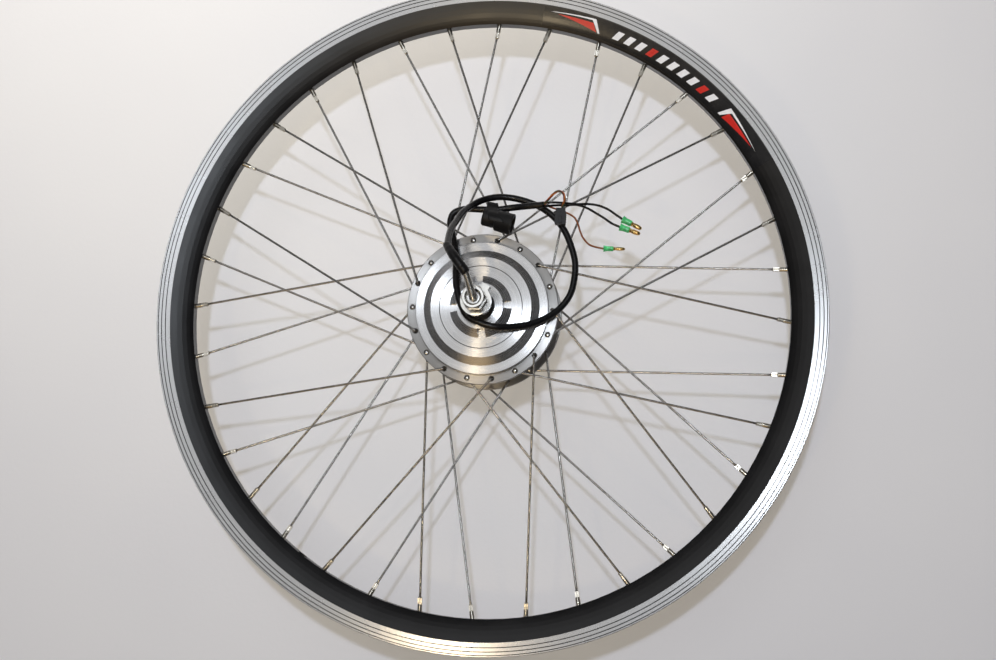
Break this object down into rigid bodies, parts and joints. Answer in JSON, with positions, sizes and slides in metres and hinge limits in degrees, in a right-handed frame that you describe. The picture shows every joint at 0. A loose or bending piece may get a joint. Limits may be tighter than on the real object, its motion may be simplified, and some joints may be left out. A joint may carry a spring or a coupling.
{
  "type": "geared hub motor wheel",
  "caption": "Rear bicycle wheel without tyre, its black double wall rim laced to a geared electric hub motor, with a loose motor cable",
  "frame": {"origin": "centre of the rim on the axle's axis", "axes": "+Z along the axle to the cable end; +X through a nipple of a cable side spoke; the wheel lies flat"},
  "size_m": [0.572, 0.5719, 0.2005],
  "materials": {
    "anodised_rim": "black anodised, satin, machined brake tracks",
    "turned_aluminium": "turned, fine concentric tool marks",
    "cast_aluminium": "machined casting",
    "stainless_steel": "drawn and polished",
    "nickel_plate": "nickel plated",
    "zinc_steel": "bright zinc plated",
    "axle_steel": "turned and threaded",
    "bearing_steel": "ground",
    "black_steel": "blackened",
    "laminated_steel": "stacked laminations",
    "copper_wire": "enamelled",
    "magnet_nickel": "nickel plated",
    "board_green": "circuit board",
    "nylon_gear": "moulded nylon",
    "black_rubber": "soft matt",
    "black_jacket": "extruded, slightly glossy",
    "black_plastic": "moulded",
    "brown_insulation": "extruded",
    "brass_pin": "bright",
    "green_sleeve": "clear green vinyl"
  },
  "bodies": {
    "axle_set": {"axle": "axle_steel", "axle_nut_left": "zinc_steel", "axle_nut_right": "zinc_steel", "flat_washer_left": "zinc_steel", "flat_washer_right": "zinc_steel", "torque_washer_left": "zinc_steel", "torque_washer_right": "zinc_steel", "locknut_left": "zinc_steel", "locknut_right": "zinc_steel", "spacer_left": "zinc_steel", "spacer_right": "zinc_steel", "hub_bearing_left_inner": "bearing_steel", "hub_bearing_right_inner": "bearing_steel", "stator_hub": "cast_aluminium", "stator_core": "laminated_steel", "stator_windings": "copper_wire", "hall_board": "board_green", "planet_carrier": "black_steel", "planet_pins": "bearing_steel", "pin_circlips": "black_steel", "clutch_race": "bearing_steel", "clutch_rollers": "bearing_steel", "cable_sleeve": "stainless_steel", "heat_shrink": "black_rubber", "motor_cable": "black_jacket", "phase_wire_1": "black_jacket", "phase_wire_2": "black_jacket", "phase_wire_3": "brown_insulation", "hall_wires": "brown_insulation", "hall_connector": "black_plastic", "bullet_pins": "brass_pin", "bullet_sleeves": "green_sleeve", "nut_cap": "black_rubber"},
    "wheel": {"hub_shell": "turned_aluminium", "left_cover": "turned_aluminium", "cover_gasket": "black_rubber", "ring_gear": "black_steel", "hub_bearing_left_outer": "bearing_steel", "hub_bearing_right_outer": "bearing_steel", "seal_left": "black_rubber", "seal_right": "black_rubber", "rim": "anodised_rim", "spokes_left_outer": "stainless_steel", "spokes_left_inner": "stainless_steel", "spokes_right_inner": "stainless_steel", "spokes_right_outer": "stainless_steel", "nipples": "nickel_plate"},
    "rotor": {"rotor_can": "black_steel", "rotor_magnets": "magnet_nickel", "rotor_cover": "cast_aluminium", "rotor_bearing_left": "bearing_steel", "rotor_bearing_right": "bearing_steel", "sun_gear": "bearing_steel"},
    "planet_1": {"planet_gear_1": "nylon_gear", "planet_bearing_1": "bearing_steel"},
    "planet_2": {"planet_gear_2": "nylon_gear", "planet_bearing_2": "bearing_steel"},
    "planet_3": {"planet_gear_3": "nylon_gear", "planet_bearing_3": "bearing_steel"}
  },
  "joints": [
    {"name": "wheel_spin", "type": "hinge", "parent": "axle_set", "child": "wheel", "pos_m": [0, 0, 0], "axis": [0, 0, 1], "continuous": true},
    {"name": "rotor_spin", "type": "hinge", "parent": "axle_set", "child": "rotor", "pos_m": [0, 0, 0], "axis": [0, 0, 1], "continuous": true},
    {"name": "planet_1_spin", "type": "hinge", "parent": "axle_set", "child": "planet_1", "pos_m": [0.027, 0, -0.0132], "axis": [0, 0, 1], "continuous": true},
    {"name": "planet_2_spin", "type": "hinge", "parent": "axle_set", "child": "planet_2", "pos_m": [-0.0135, 0.02338, -0.0132], "axis": [0, 0, 1], "continuous": true},
    {"name": "planet_3_spin", "type": "hinge", "parent": "axle_set", "child": "planet_3", "pos_m": [-0.0135, -0.02338, -0.0132], "axis": [0, 0, 1], "continuous": true}
  ],
  "couplings": [
    {"joint": "rotor_spin", "follows": "wheel_spin", "ratio": -4.1429},
    {"joint": "planet_1_spin", "follows": "wheel_spin", "ratio": 2.6364},
    {"joint": "planet_2_spin", "follows": "wheel_spin", "ratio": 2.6364},
    {"joint": "planet_3_spin", "follows": "wheel_spin", "ratio": 2.6364}
  ]
}
